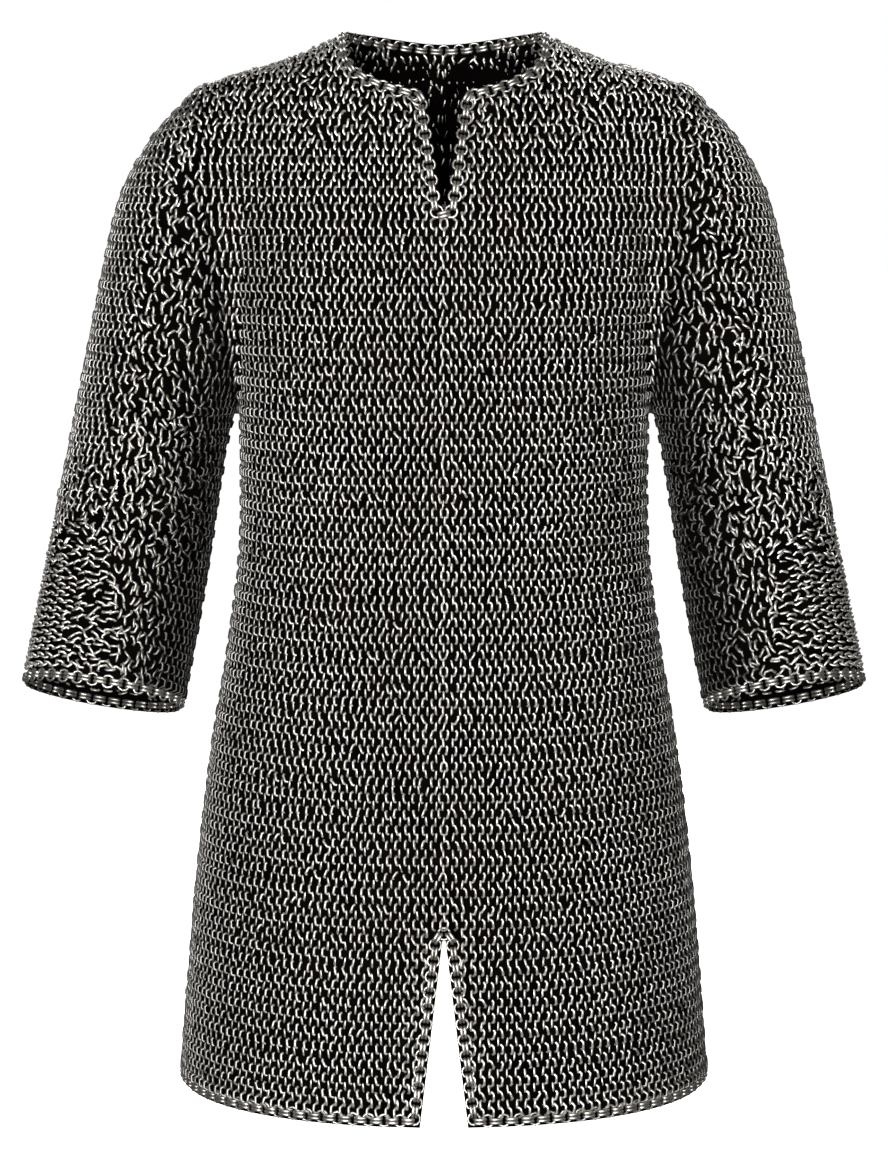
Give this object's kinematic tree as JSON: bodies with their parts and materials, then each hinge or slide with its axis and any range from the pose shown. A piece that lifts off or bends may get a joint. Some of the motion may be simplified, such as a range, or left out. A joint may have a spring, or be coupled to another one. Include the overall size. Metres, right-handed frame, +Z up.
{
  "type": "chainmail hauberk",
  "caption": "Thigh-length chainmail shirt in worn form, with three-quarter sleeves, a slit neck, slit skirt and an edging of round chain links; armour worn over padding.",
  "frame": {"origin": "midway between the shoulders at the level of the neck corners, where the wearer's shoulders carry the shirt", "axes": "+Z up, the front faces -Y, +X towards the wearer's left sleeve"},
  "size_m": [0.7869, 0.3357, 0.9997],
  "materials": {
    "mail": "plain steel wire, dulled, dark between the rings",
    "edging_chain": "plain steel wire, brighter than the weave"
  },
  "bodies": {
    "root": {"front": "mail", "back": "mail", "sleeve_left": "mail", "sleeve_right": "mail", "neck_chain": "edging_chain", "cuff_chain_left": "edging_chain", "cuff_chain_right": "edging_chain", "skirt_chain_left": "edging_chain", "skirt_chain_right": "edging_chain"}
  },
  "joints": []
}
